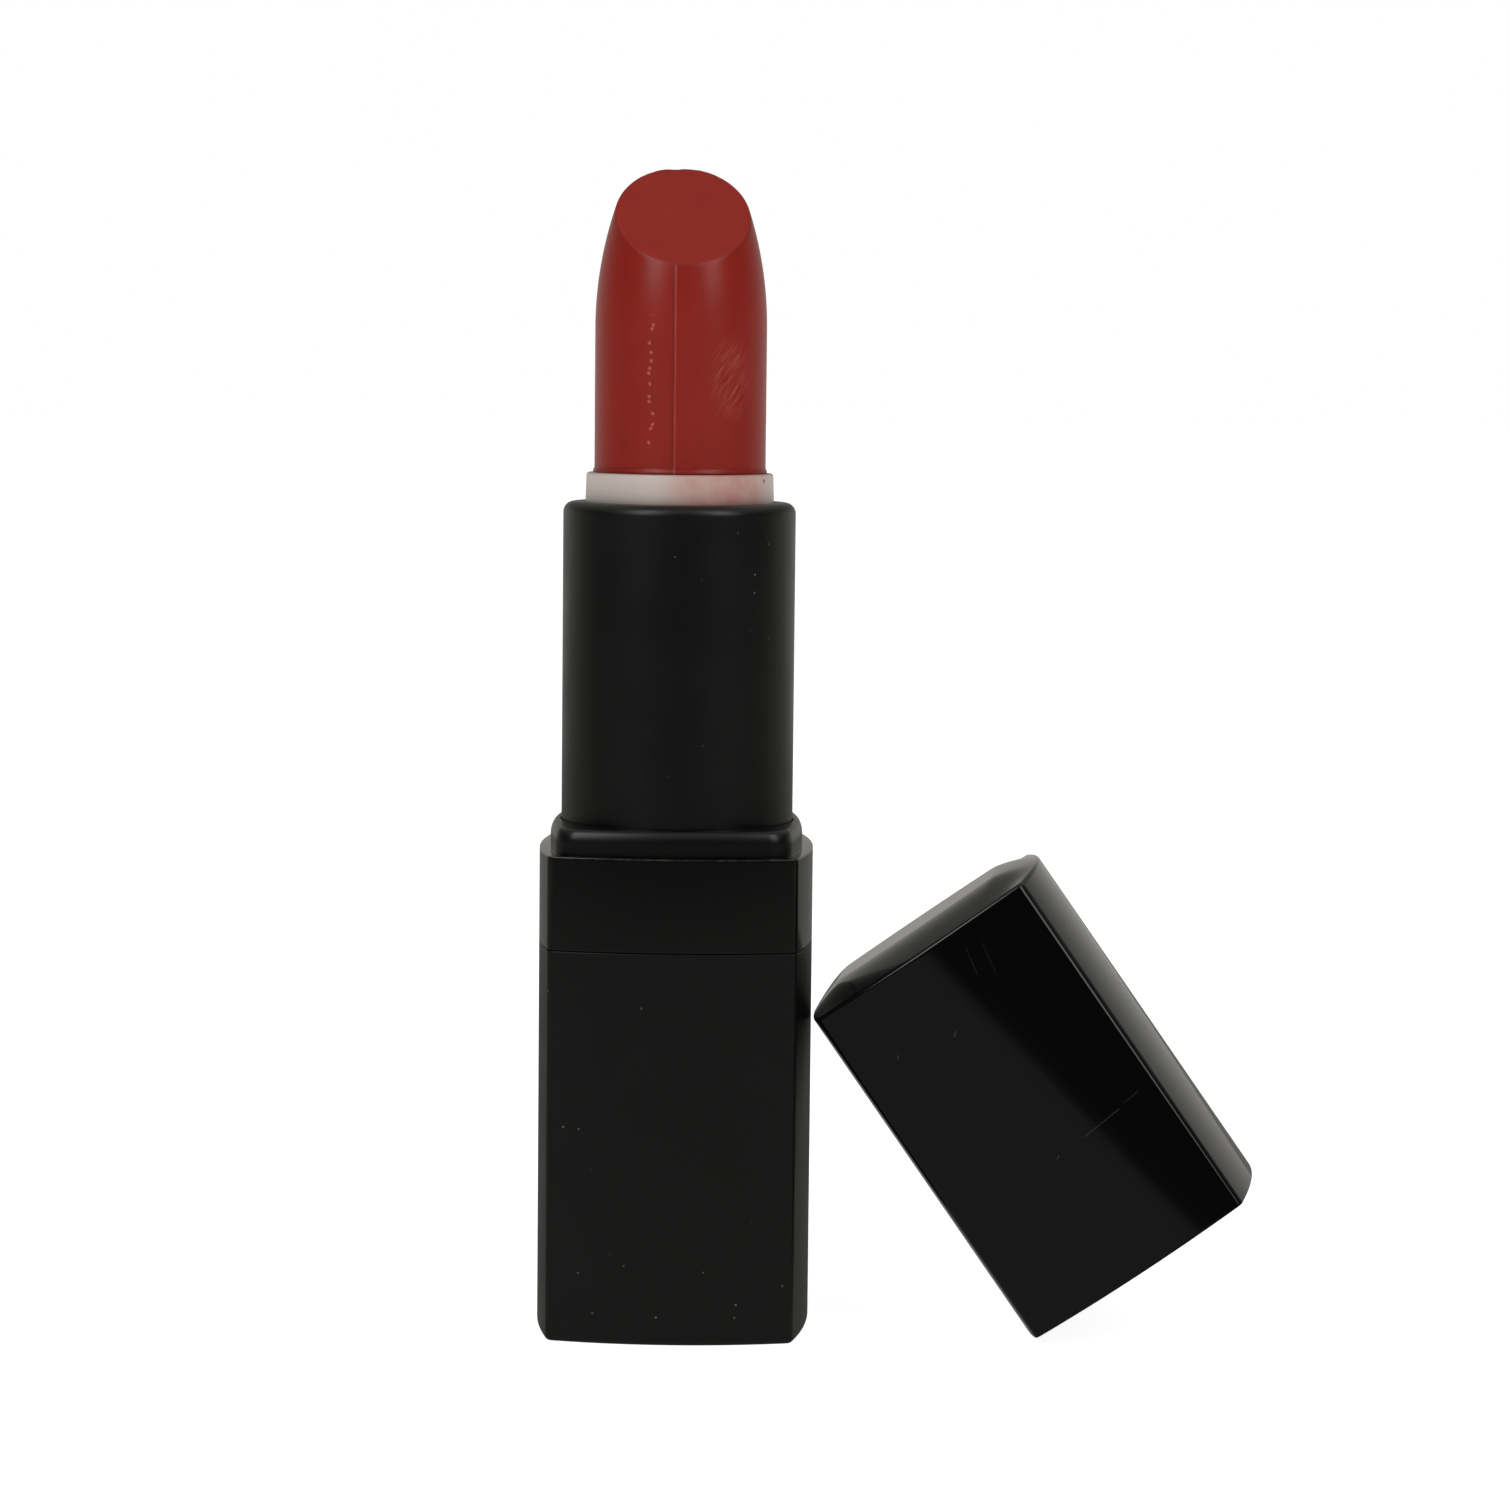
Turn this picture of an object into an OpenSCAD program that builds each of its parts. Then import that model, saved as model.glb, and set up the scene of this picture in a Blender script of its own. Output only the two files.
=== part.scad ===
// Square twist-up lipstick case, wound up, with its cap off and leaning on it.
// Origin: centre of the underside. +X right, +Y back, +Z up. All sizes in millimetres.
// The radial sizes grow outwards from the bullet, and the heights grow upwards from the base.

/* [Bullet] */
// Diameter of the lipstick bullet
bullet_d = 12.1; // [9.5:0.1:15]
// Height of bullet that stands above the cup
bullet_show = 21.4; // [16:0.1:26]
// Height of the part of the bullet that tapers towards the tip
taper_h = 11.25; // [8:0.05:14]
// Radius of the arc that the taper follows
taper_r = 26.5; // [22:0.5:45]
// Tilt of the slanted face from level
cut_angle = 37.5; // [30:0.5:50]
// How far below the tip the slanted face crosses the bullet's axis
cut_drop = 2.5; // [2:0.1:5]
// Turn of the slanted face to the right of straight ahead
cut_turn = 4.5; // [-45:0.5:45]

/* [Cup] */
// Wall of the cup that carries the bullet
cup_wall = 0.59; // [0.45:0.01:0.8]
// Height of the cup
cup_h = 11; // [8:0.1:13]
// Height of cup that stands above the tube's rim, wound up
cup_show = 2.05; // [1:0.05:4]
// Thickness of the cup's floor
cup_floor = 1; // [0.6:0.1:2]
// Diameter of the two drive lugs on the cup
lug_d = 1.2; // [0.9:0.05:1.5]
// Height of the lugs' centre above the underside of the cup
lug_up = 1.3; // [1:0.05:3]

/* [Mechanism] */
// Wall of the slotted inner body
inner_wall = 0.42; // [0.35:0.01:0.7]
// Wall of the spiral sleeve
sleeve_wall = 0.48; // [0.35:0.01:0.8]
// Turns of the tube from wound up to wound down
turns = 1.5; // [1:0.25:2]
// How far the bullet's tip sinks below the tube's rim, wound down
sink = 1.05; // [0.5:0.05:3]
// Height of the closed ring at the foot of the spiral sleeve
foot_ring_h = 1.9; // [1:0.1:3]
// Section diameter of the rubber friction ring
ring_d = 0.9; // [0.7:0.05:1.1]
// Depth to which the inner body is pressed into the core
socket_h = 7; // [4:0.1:8]

/* [Outer tube] */
// Wall of the round outer tube
tube_wall = 0.49; // [0.4:0.01:0.8]
// Height of tube that stands above the collar
tube_show = 22.45; // [18:0.05:27]
// Thickness of the lip that closes the tube in over the sleeve
lip_h = 0.6; // [0.4:0.05:1]
// Rounding of the tube's top rim
rim_r = 0.75; // [0.3:0.05:0.9]

/* [Base and collar] */
// Wall of the base shell at the middle of a side
base_wall = 1.2; // [1:0.05:1.6]
// Height of the base shell
base_h = 27.5; // [23:0.1:33]
// Thickness of the base shell's floor
floor_h = 1.6; // [1:0.1:2.4]
// Radius of the outward bow of each side
side_r = 34.5; // [30:0.5:60]
// Radius of the vertical edges
edge_r = 0.6; // [0.4:0.05:1]
// Height of the square part of the collar
collar_h = 6.6; // [4:0.1:10]
// Height of the step that the cap slides over
step_h = 1.85; // [1:0.05:3]
// Wall of the step at the middle of a side
step_wall = 0.64; // [0.5:0.01:0.9]
// Radius of the step's vertical corners
step_corner_r = 2; // [1.5:0.1:3]
// Diameter of the steel weight
weight_d = 13.6; // [9:0.1:14]
// Height of the steel weight
weight_h = 8; // [3:0.1:9]
// Diameter of the blank label under the base
label_d = 12; // [8:0.5:14]
// Thickness of the label
label_t = 0.15; // [0.1:0.01:0.2]

/* [Cap] */
// Thickness of the cap's top at its edges
cap_top = 1.9; // [1.2:0.1:3]
// Rise of the pillowed top in the middle
cap_rise = 1; // [0.5:0.1:1.5]
// Radius of the corners inside the cap
cap_corner_r = 1.6; // [1.2:0.1:2]
// Thickness of the liner's closed top
liner_top = 0.6; // [0.4:0.1:1]
// Lean of the cap from upright
cap_lean = 35.3; // [20:0.1:50]
// Turn of the leaning cap about the vertical
cap_yaw = -4.75; // [-8:0.25:8]

/* [Clearances] */
// Radial gap of the parts that turn or slide in each other
run_gap = 0.07; // [0.04:0.01:0.1]
// Gap of the parts that are pressed or glued together
fix_gap = 0.02; // [0.01:0.01:0.03]
// Space between the tube and the inside of the base at the middle of a side
tube_space = 0.29; // [0.2:0.01:0.5]
// Gap of the cap on the step, each side
cap_fit = 0.06; // [0.04:0.01:0.1]
// Gap between the liner and the tube
liner_gap = 0.15; // [0.1:0.01:0.25]
// End gaps of the moving tubes
end_gap = 0.1; // [0.05:0.01:0.2]
// Air above the tube inside the closed cap
cap_air = 0.3; // [0.2:0.05:1]
// Gap at which the leaning cap stands off the case
lean_gap = 0.2; // [0.15:0.05:0.5]

/* [Hidden] */
$fn = 96;
// Overshoot of the cutting solids
eps = 1;
// The corner circles stand this much proud, so that they cross the sides and don't just touch them
lap = 0.002;

// Radii, from the bullet outwards
bullet_r = bullet_d/2;
cup_in_r = bullet_r + fix_gap;
cup_r = cup_in_r + cup_wall;
inner_in_r = cup_r + run_gap;
inner_r = inner_in_r + inner_wall;
sleeve_in_r = inner_r + run_gap;
sleeve_r = sleeve_in_r + sleeve_wall;
tube_in_r = sleeve_r + fix_gap;
tube_r = tube_in_r + tube_wall;
lip_in_r = cup_r + 2*run_gap;
lug_tip_r = tube_in_r - 2*run_gap;
collar_bore_r = tube_r + run_gap;

// Half widths at the middle of a side
case_half = tube_r + tube_space + base_wall;
step_half = collar_bore_r + step_wall;
cap_in_half = step_half + cap_fit;
liner_half = cap_in_half - fix_gap;
core_half = case_half - base_wall - fix_gap;
core_corner_r = 1.5;

// Heights
collar_z = base_h + collar_h;
step_z = collar_z + step_h;
tube_z = step_z + tube_show;
cup_z = tube_z + cup_show;
tip_z = cup_z + bullet_show;
travel = cup_show + bullet_show + sink;
cup_foot_z = cup_z - cup_h;
lug_z = cup_foot_z + lug_up;
slot_end = lug_d/2 + 1.5*end_gap;
slot_foot_z = lug_z - travel - slot_end;
slot_top_z = lug_z + slot_end;
sleeve_foot_z = slot_foot_z - foot_ring_h;
sleeve_top_z = tube_z - lip_h - end_gap/2;
inner_top_z = sleeve_top_z - end_gap;
ring_recess = 0.4*ring_d;
ring_seat_z = sleeve_foot_z - end_gap - ring_d;
ring_track_r = inner_r + run_gap + ring_d/2;
core_top_z = ring_seat_z + ring_recess;
socket_z = core_top_z - socket_h;

// Spiral: the lug climbs by the whole travel in the given turns
lead = travel/turns;
lug_mid_r = (sleeve_in_r + sleeve_r)/2;
helix_angle = atan(lead/(2*PI*lug_mid_r));
groove_half = (lug_d/2 + end_gap)/sin(helix_angle);
groove_span = groove_half/lug_mid_r*180/PI;
groove_h = slot_top_z - slot_foot_z;
groove_turn = groove_h/lead*360;
groove_start = -(lug_z - slot_foot_z)/lead*360;

// Cap, in its own frame with the mouth at z = 0
liner_foot = step_h + cap_air;
liner_bore_r = tube_r + liner_gap;
liner_in_z = step_h + tube_show + cap_air;
cap_in_z = liner_in_z + liner_top;
cap_l = cap_in_z + cap_top;
cap_dome_r = (case_half*case_half + cap_rise*cap_rise)/(2*cap_rise);
cap_x = case_half + lean_gap + cap_l*sin(cap_lean)*cos(cap_yaw);

// Square outline with bowed sides, its side middles at half, its corners rounded to corner_r.
// All such outlines share the bow centres of the case, so the walls between them are even.
module cushion(half, corner_r) {
    bow_off = side_r - case_half;
    bow_r = bow_off + half;
    corner_c = (sqrt(2*pow(bow_r - corner_r, 2) - bow_off*bow_off) - bow_off)/2;
    stretch = bow_r/(bow_r - corner_r);
    chord = (corner_c + bow_off)*stretch - bow_off + corner_c*stretch;
    intersection() {
        intersection() {
            translate([-bow_off, 0]) circle(bow_r);
            translate([bow_off, 0]) circle(bow_r);
        }
        intersection() {
            translate([0, -bow_off]) circle(bow_r);
            translate([0, bow_off]) circle(bow_r);
        }
        rotate(45) square(chord*sqrt(2), center = true);
    }
    for (turn = [45 : 90 : 315]) {
        rotate(turn) translate([corner_c*sqrt(2), 0]) circle(corner_r + lap);
    }
}

module cushion_block(half, corner_r, foot, top) {
    translate([0, 0, foot]) linear_extrude(height = top - foot) cushion(half, corner_r);
}

// Round tube between two heights
module pipe(in_r, out_r, foot, top) {
    translate([0, 0, foot]) difference() {
        cylinder(h = top - foot, r = out_r);
        translate([0, 0, -eps]) cylinder(h = top - foot + 2*eps, r = in_r);
    }
}

module base_shell() {
    color("#1d1e1d") difference() {
        cushion_block(case_half, edge_r, 0, base_h);
        cushion_block(case_half - base_wall, core_corner_r, floor_h, base_h + eps);
        translate([0, 0, -eps]) cylinder(h = eps + label_t + fix_gap, d = label_d + 2*end_gap);
    }
}

module shade_label() {
    color("#d9d6cf") translate([0, 0, fix_gap]) cylinder(h = label_t, d = label_d);
}

module base_weight() {
    color("#9a9c9e") translate([0, 0, floor_h]) cylinder(h = weight_h, d = weight_d);
}

// Moulded core: the weight sits under it and the inner body stands in its socket
module base_core() {
    color("#3a3b3a") difference() {
        cushion_block(core_half, core_corner_r, floor_h, core_top_z);
        translate([0, 0, floor_h - eps]) cylinder(h = weight_h + eps, d = weight_d + 2*fix_gap);
        translate([0, 0, socket_z]) cylinder(h = socket_h + eps, r = inner_r + fix_gap);
        pipe(inner_r, ring_track_r + ring_d/2 + run_gap, ring_seat_z, core_top_z + eps);
    }
}

// Square collar with a step for the cap, and four legs that fill the corners of the base
module collar() {
    color("#161716") difference() {
        union() {
            cushion_block(case_half, edge_r, base_h, collar_z);
            cushion_block(step_half, step_corner_r, collar_z - eps, step_z);
            difference() {
                cushion_block(core_half, core_corner_r, core_top_z, base_h + eps/2);
                translate([0, 0, core_top_z - eps])
                    cylinder(h = base_h - core_top_z + eps, r = core_half + end_gap);
            }
        }
        translate([0, 0, core_top_z - eps])
            cylinder(h = step_z - core_top_z + 2*eps, r = collar_bore_r);
    }
}

// Tube fixed in the core, with one upright slot each side for the cup's lugs
module inner_body() {
    slot_w = lug_d + 2*end_gap;
    color("#e9e7e0") difference() {
        pipe(inner_in_r, inner_r, socket_z, inner_top_z);
        translate([-inner_r - eps, -slot_w/2, slot_foot_z])
            cube([2*(inner_r + eps), slot_w, slot_top_z - slot_foot_z]);
    }
}

module friction_ring() {
    color("#2b2b2b") translate([0, 0, ring_seat_z + ring_d/2])
        rotate_extrude() translate([ring_track_r, 0]) circle(d = ring_d);
}

// One tapered block of the spiral cutter's outline, wide enough to clear a lug
module groove_outline() {
    near = sleeve_in_r - 2*run_gap;
    far = sleeve_r + eps;
    polygon([
        near*[cos(groove_span), -sin(groove_span)], far*[cos(groove_span), -sin(groove_span)],
        far*[cos(groove_span), sin(groove_span)], near*[cos(groove_span), sin(groove_span)]
    ]);
}

// Two right-handed helical slots, half a turn apart, drive the lugs
module spiral_sleeve() {
    color("#c9c6bd") difference() {
        pipe(sleeve_in_r, sleeve_r, sleeve_foot_z, sleeve_top_z);
        translate([0, 0, slot_foot_z]) rotate(groove_start)
            linear_extrude(groove_h, twist = -groove_turn, slices = ceil(groove_turn/6), $fn = 4)
                for (side = [0, 180]) rotate(side) groove_outline();
    }
}

// Wall, lip and rounded rim of the tube, as one turned outline
module outer_tube() {
    color("#151615") rotate_extrude() difference() {
        translate([lip_in_r, sleeve_foot_z]) square([tube_r - lip_in_r, tube_z - sleeve_foot_z]);
        translate([0, sleeve_foot_z - eps])
            square([tube_in_r, tube_z - lip_h - sleeve_foot_z + eps]);
        difference() {
            translate([tube_r - rim_r, tube_z - rim_r]) square(rim_r + eps);
            translate([tube_r - rim_r, tube_z - rim_r]) circle(rim_r);
        }
    }
}

module cup() {
    color("#efece6") difference() {
        union() {
            translate([0, 0, cup_foot_z]) cylinder(h = cup_h, r = cup_r);
            for (side = [-90, 90]) {
                translate([0, 0, lug_z]) rotate([0, side, 0]) cylinder(h = lug_tip_r, d = lug_d);
            }
        }
        translate([0, 0, cup_foot_z + cup_floor]) cylinder(h = cup_h, r = cup_in_r);
    }
}

// Outline of half the bullet: a straight shank, then an arc up to the flat tip
module bullet_outline() {
    shoulder_z = tip_z - taper_h;
    foot_z = cup_foot_z + cup_floor;
    translate([0, foot_z]) square([bullet_r, shoulder_z - foot_z]);
    intersection() {
        translate([0, shoulder_z]) square([bullet_r, taper_h]);
        translate([bullet_r - taper_r, shoulder_z]) circle(taper_r);
    }
}

module bullet() {
    color("#a52f2c") difference() {
        rotate_extrude() bullet_outline();
        translate([0, 0, tip_z - cut_drop]) rotate(cut_turn) rotate([cut_angle, 0, 0])
            translate([-bullet_d, -2*bullet_d, 0]) cube([2*bullet_d, 4*bullet_d, bullet_d]);
    }
}

// Stands the cap on the edge of its mouth and leans it on the side of the case
module leaning() {
    translate([cap_x, 0, 0]) rotate([0, 0, cap_yaw]) rotate([0, -cap_lean, 0])
        translate([case_half, 0, 0]) children();
}

// The pillowed top is the meeting of two shallow vaults
module cap_shell() {
    color("#101112") leaning() difference() {
        intersection() {
            cushion_block(case_half, edge_r, 0, cap_l + cap_rise);
            translate([0, 0, cap_l + cap_rise - cap_dome_r])
                rotate([90, 0, 0]) cylinder(h = 4*case_half, r = cap_dome_r, center = true);
            translate([0, 0, cap_l + cap_rise - cap_dome_r])
                rotate([0, 90, 0]) cylinder(h = 4*case_half, r = cap_dome_r, center = true);
        }
        cushion_block(cap_in_half, cap_corner_r, -eps, cap_in_z);
    }
}

// Square outside, round inside: it guides the cap over the tube
module cap_liner() {
    color("#26282a") leaning() difference() {
        cushion_block(liner_half, cap_corner_r, liner_foot, cap_in_z);
        translate([0, 0, liner_foot - eps]) cylinder(h = liner_in_z - liner_foot + eps, r = liner_bore_r);
    }
}

base_shell();
shade_label();
base_weight();
base_core();
collar();
inner_body();
friction_ring();
spiral_sleeve();
outer_tube();
cup();
bullet();
cap_shell();
cap_liner();
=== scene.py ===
# %% [markdown]
# # A square twist-up lipstick, wound up, with its cap leaning against it
#
# The case is moulded in black ABS: a square base whose sides bow out a little, a collar with a
# low step for the cap, and a round tube that turns. A white cup carries the bullet of red wax.
# A CAD model already holds every size, place and joint. This script gives it its looks, so it
# starts by loading that model and never moves any of it.

# %% Load the frame
import math

import bmesh
import bpy
from mathutils import Matrix, Vector, noise


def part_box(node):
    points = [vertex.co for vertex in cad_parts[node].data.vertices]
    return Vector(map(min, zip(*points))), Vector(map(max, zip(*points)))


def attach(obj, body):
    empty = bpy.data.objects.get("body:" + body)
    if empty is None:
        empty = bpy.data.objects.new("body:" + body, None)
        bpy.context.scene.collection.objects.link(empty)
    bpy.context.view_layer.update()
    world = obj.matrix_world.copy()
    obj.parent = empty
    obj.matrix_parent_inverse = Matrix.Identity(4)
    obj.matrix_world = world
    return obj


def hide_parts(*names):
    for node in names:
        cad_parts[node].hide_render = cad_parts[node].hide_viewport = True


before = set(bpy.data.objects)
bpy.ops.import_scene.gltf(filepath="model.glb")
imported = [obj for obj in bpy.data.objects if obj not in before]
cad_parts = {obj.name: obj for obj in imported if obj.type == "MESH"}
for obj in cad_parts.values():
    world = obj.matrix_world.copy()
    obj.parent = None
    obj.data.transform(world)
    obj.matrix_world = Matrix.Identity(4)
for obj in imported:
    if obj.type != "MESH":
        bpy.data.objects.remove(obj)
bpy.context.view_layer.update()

scene = bpy.context.scene

# %% [markdown]
# ## Sizes
#
# Everything here is in millimetres, the unit that the case was designed in, and one factor
# turns it into Blender's metres at the end. What a box can tell is read from the CAD model, so
# that the looks follow if a size changes. The bows and roundings can't be read from a box, so
# they are named once here.

# %% Sizes from the frame, and the roundings
MM = 0.001


def span(node):
    """Lowest and highest corner of a CAD node in millimetres."""
    low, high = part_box(node)
    return low / MM, high / MM


case_half = span("base_shell")[1].x
base_top = span("base_shell")[1].z
step_top = span("collar")[1].z
legs_foot = span("collar")[0].z
tube_r = span("outer_tube")[1].x
tube_foot, tube_top = span("outer_tube")[0].z, span("outer_tube")[1].z
cup_r = span("cup")[1].y
lug_tip = span("cup")[1].x
cup_foot, cup_top = span("cup")[0].z, span("cup")[1].z
bullet_r = span("bullet")[1].x
bullet_foot, bullet_tip = span("bullet")[0].z, span("bullet")[1].z

SIDE_R = 34.5  # the outward bow of each side
EDGE_R = 0.6  # the upright edges of the case and the cap
STEP_H = 1.85
STEP_HALF = 8.92
STEP_CORNER_R = 2.0
TUBE_WALL = 0.49
SEAM_R = 0.04  # edges that meet at a seam are just broken, not rounded
collar_top = step_top - STEP_H
print(f"case {2 * case_half:.2f} mm square, {bullet_tip:.1f} mm tall, tube {2 * tube_r:.2f} mm")

# %% [markdown]
# ## Camera
#
# The view is a level product shot with a long lens, from about 30 cm away and a little above
# the middle of the case. The camera's three axes are built from its pan, its tilt and a slight
# roll, because a matrix leaves no doubt about the order of the turns.

# %% Camera
CAMERA_AT = Vector((9.095, -292.414, 68.612))
PAN, TILT, ROLL = (math.radians(a) for a in (-0.704, 5.492, 0.602))
LENS = 98.65  # mm on a 36 mm wide sensor

ahead = Vector((math.sin(PAN) * math.cos(TILT), math.cos(PAN) * math.cos(TILT), -math.sin(TILT)))
level_right = Vector((math.cos(PAN), -math.sin(PAN), 0))
level_up = level_right.cross(ahead)
right = math.cos(ROLL) * level_right + math.sin(ROLL) * level_up
up = math.cos(ROLL) * level_up - math.sin(ROLL) * level_right

lens = bpy.data.cameras.new("camera")
lens.sensor_width = 36
lens.lens = LENS
lens.clip_start = 0.01
lens.clip_end = 20
camera = bpy.data.objects.new("camera", lens)
axes = Matrix((right, up, -ahead)).transposed().to_4x4()
camera.matrix_world = Matrix.Translation(CAMERA_AT * MM) @ axes
scene.collection.objects.link(camera)
scene.camera = camera
scene.view_settings.view_transform = "Standard"
print(f"camera {CAMERA_AT.length:.0f} mm from the foot of the case")

# %% [markdown]
# ## Colours and nodes
#
# Colours are written as sRGB hex, as a maker picks them, and one function turns them into the
# linear values that Blender works with. One more function adds a shader node with its settings
# and its links, and a third starts a material: whatever is the same all over a surface is set
# there, on the shader's own sockets.

# %% Colour and node helpers


def linear(code):
    """'#rrggbb' to linear red, green, blue and a full alpha."""
    values = [int(code[i : i + 2], 16) / 255 for i in (1, 3, 5)]
    return [v / 12.92 if v <= 0.04045 else ((v + 0.055) / 1.055) ** 2.4 for v in values] + [1.0]


def add_node(owner, kind, inputs=None, **settings):
    """Adds a node to a material or world. An input is a value, or another node's output."""
    node = owner.node_tree.nodes.new(kind)
    for name, value in settings.items():
        setattr(node, name, value)
    for name, value in (inputs or {}).items():
        if isinstance(value, bpy.types.NodeSocket):
            owner.node_tree.links.new(value, node.inputs[name])
        else:
            node.inputs[name].default_value = value
    return node


def start_material(name, **sockets):
    """A material with one Principled shader, its uniform values set by socket name."""
    material = bpy.data.materials.new(name)
    material.use_nodes = True
    shader = material.node_tree.nodes["Principled BSDF"]
    for socket, value in sockets.items():
        shader.inputs[socket.replace("_", " ")].default_value = value
    return material, shader


def link(material, output, socket):
    material.node_tree.links.new(output, socket)


# %% [markdown]
# ## Studio
#
# The case stands on a pale floor in front of a white background. Black plastic shows hardly
# any colour of its own: what the eye sees is what it reflects. So the studio has three parts.
# The surroundings are white behind the case, which lights its outline, dim above it and dark
# in front of it. A grey card lies on the floor and is seen only in reflections, and its front
# edge draws the soft line across the gloss of the cap. Two tall soft lamps stand in front, left
# and right, and give the pairs of small highlights on every rim and the two sheens on the wax.
# The floor is opal acrylic that glows, so that it stays white and the shadows stay faint.

# %% Surroundings
BACKGROUND = linear("#ffffff")
WARM_WHITE = linear("#fffdf8")
BACK_LIGHT = 0.45
FRONT_LIGHT = 0.02
CEILING_LIGHT = 0.3
ABOVE_WALL = 0.3  # the share of the wall's light that is left above it
# Where each light starts and is full. A direction's Y is 1 straight back and its Z 1 straight up.
WALL_Y = (-0.15, 0.95)
WALL_TOP_Z = (0.05, 0.4)
CEILING_Z = (0.25, 0.8)

world = bpy.data.worlds.new("studio")
scene.world = world
world.use_nodes = True
world_out = world.node_tree.nodes["World Output"]
plain = world.node_tree.nodes["Background"]
plain.inputs["Color"].default_value = BACKGROUND
direction = add_node(world, "ShaderNodeTexCoord").outputs["Generated"]
ways = add_node(world, "ShaderNodeSeparateXYZ", {0: direction}).outputs
ramps = []
for way, limits, low, high in (
    ("Y", WALL_Y, FRONT_LIGHT, BACK_LIGHT),
    ("Z", WALL_TOP_Z, 1.0, ABOVE_WALL),
    ("Z", CEILING_Z, 0.0, CEILING_LIGHT),
):
    reach = {"From Min": limits[0], "From Max": limits[1], "To Min": low, "To Max": high}
    ramp = add_node(
        world, "ShaderNodeMapRange", {"Value": ways[way], **reach}, interpolation_type="SMOOTHSTEP"
    )
    ramps.append(ramp.outputs["Result"])
wall, below_wall_top, ceiling = ramps
brightness = add_node(
    world, "ShaderNodeMath", {0: wall, 1: below_wall_top, 2: ceiling}, operation="MULTIPLY_ADD"
).outputs[0]
around = add_node(world, "ShaderNodeBackground", {"Color": WARM_WHITE, "Strength": brightness})
seen_directly = add_node(world, "ShaderNodeLightPath").outputs["Is Camera Ray"]
mixed = add_node(
    world, "ShaderNodeMixShader", {0: seen_directly, 1: around.outputs[0], 2: plain.outputs[0]}
)
link(world, mixed.outputs[0], world_out.inputs["Surface"])
print(f"surroundings: {BACK_LIGHT} behind, {FRONT_LIGHT} in front, {CEILING_LIGHT} overhead")

# %% Floor and the grey card
FLOOR_R = 4000
FLOOR_GLOW = 0.9
CARD_NEAR, CARD_FAR, CARD_SIDE = -235, 400, 500  # front edge, back edge, half width
CARD_GLOW = 0.17


def stage_sheet(name, corners, material, hidden_from):
    """A flat sheet that isn't part of the object, hidden from some kinds of light ray."""
    mesh = bpy.data.meshes.new(name)
    mesh.from_pydata([[c * MM for c in corner] for corner in corners], [], [range(len(corners))])
    mesh.materials.append(material)
    sheet = bpy.data.objects.new(name, mesh)
    scene.collection.objects.link(sheet)
    for ray in hidden_from:
        setattr(sheet, "visible_" + ray, False)


floor_acrylic, _ = start_material(
    "floor_opal_acrylic",
    Base_Color=linear("#efefee"),
    Roughness=0.9,
    Specular_IOR_Level=0.2,
    Emission_Color=linear("#ffffff"),
    Emission_Strength=FLOOR_GLOW,
)
turns = [2 * math.pi * i / 64 for i in range(64)]
stage_sheet(
    "floor",
    [(FLOOR_R * math.cos(t), FLOOR_R * math.sin(t), 0) for t in turns],
    floor_acrylic,
    ["glossy"],
)

card_paint, _ = start_material(
    "grey_card",
    Base_Color=linear("#000000"),
    Roughness=1,
    Emission_Color=WARM_WHITE,
    Emission_Strength=CARD_GLOW,
)
stage_sheet(
    "grey_card",
    [
        (-CARD_SIDE, CARD_NEAR, 0),
        (CARD_SIDE, CARD_NEAR, 0),
        (CARD_SIDE, CARD_FAR, 0),
        (-CARD_SIDE, CARD_FAR, 0),
    ],
    card_paint,
    ["camera", "diffuse", "transmission", "shadow"],
)
print(f"floor {2 * FLOOR_R / 1000:.0f} m across, card from {CARD_NEAR} to {CARD_FAR} mm")

# %% Two soft lamps in front
LAMP_DISTANCE = 520
LAMP_WIDE, LAMP_TALL = 200, 380


def soft_lamp(name, direction, power):
    data = bpy.data.lights.new(name, "AREA")
    data.shape = "RECTANGLE"
    data.size, data.size_y = LAMP_WIDE * MM, LAMP_TALL * MM
    data.energy = power
    lamp = bpy.data.objects.new(name, data)
    aim = Vector((0, 0, bullet_tip / 2))
    lamp.location = (aim + Vector(direction).normalized() * LAMP_DISTANCE) * MM
    lamp.rotation_euler = (-Vector(direction)).to_track_quat("-Z", "Y").to_euler()
    scene.collection.objects.link(lamp)


soft_lamp("lamp_left", (-0.48, -0.66, 0.60), 0.62)
soft_lamp("lamp_right", (0.60, -0.57, 0.58), 0.5)

# %% [markdown]
# ## How the pieces are made
#
# Every shell of the case is a stack of closed outlines. The square ones share one outline with
# bowed sides and rounded corners, and the round ones are turned like work on a lathe. So two
# short functions give outlines, and one skins a stack of them with quads. Edges are rounded in
# the mesh itself, because a real moulding has no perfectly sharp edge and it is the rounding
# that catches the light. Close to each end of a long flat stretch stands one more outline: it
# keeps smooth shading from bleeding off the rounding onto the flat.

# %% Outlines
SIDE_STEPS = 20
CORNER_STEPS = 9
SIDE_BRACE = 0.12  # how close the first point of a side stands to its corner
NEAR_EDGE = 0.1  # how close an extra outline stands to an edge


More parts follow.
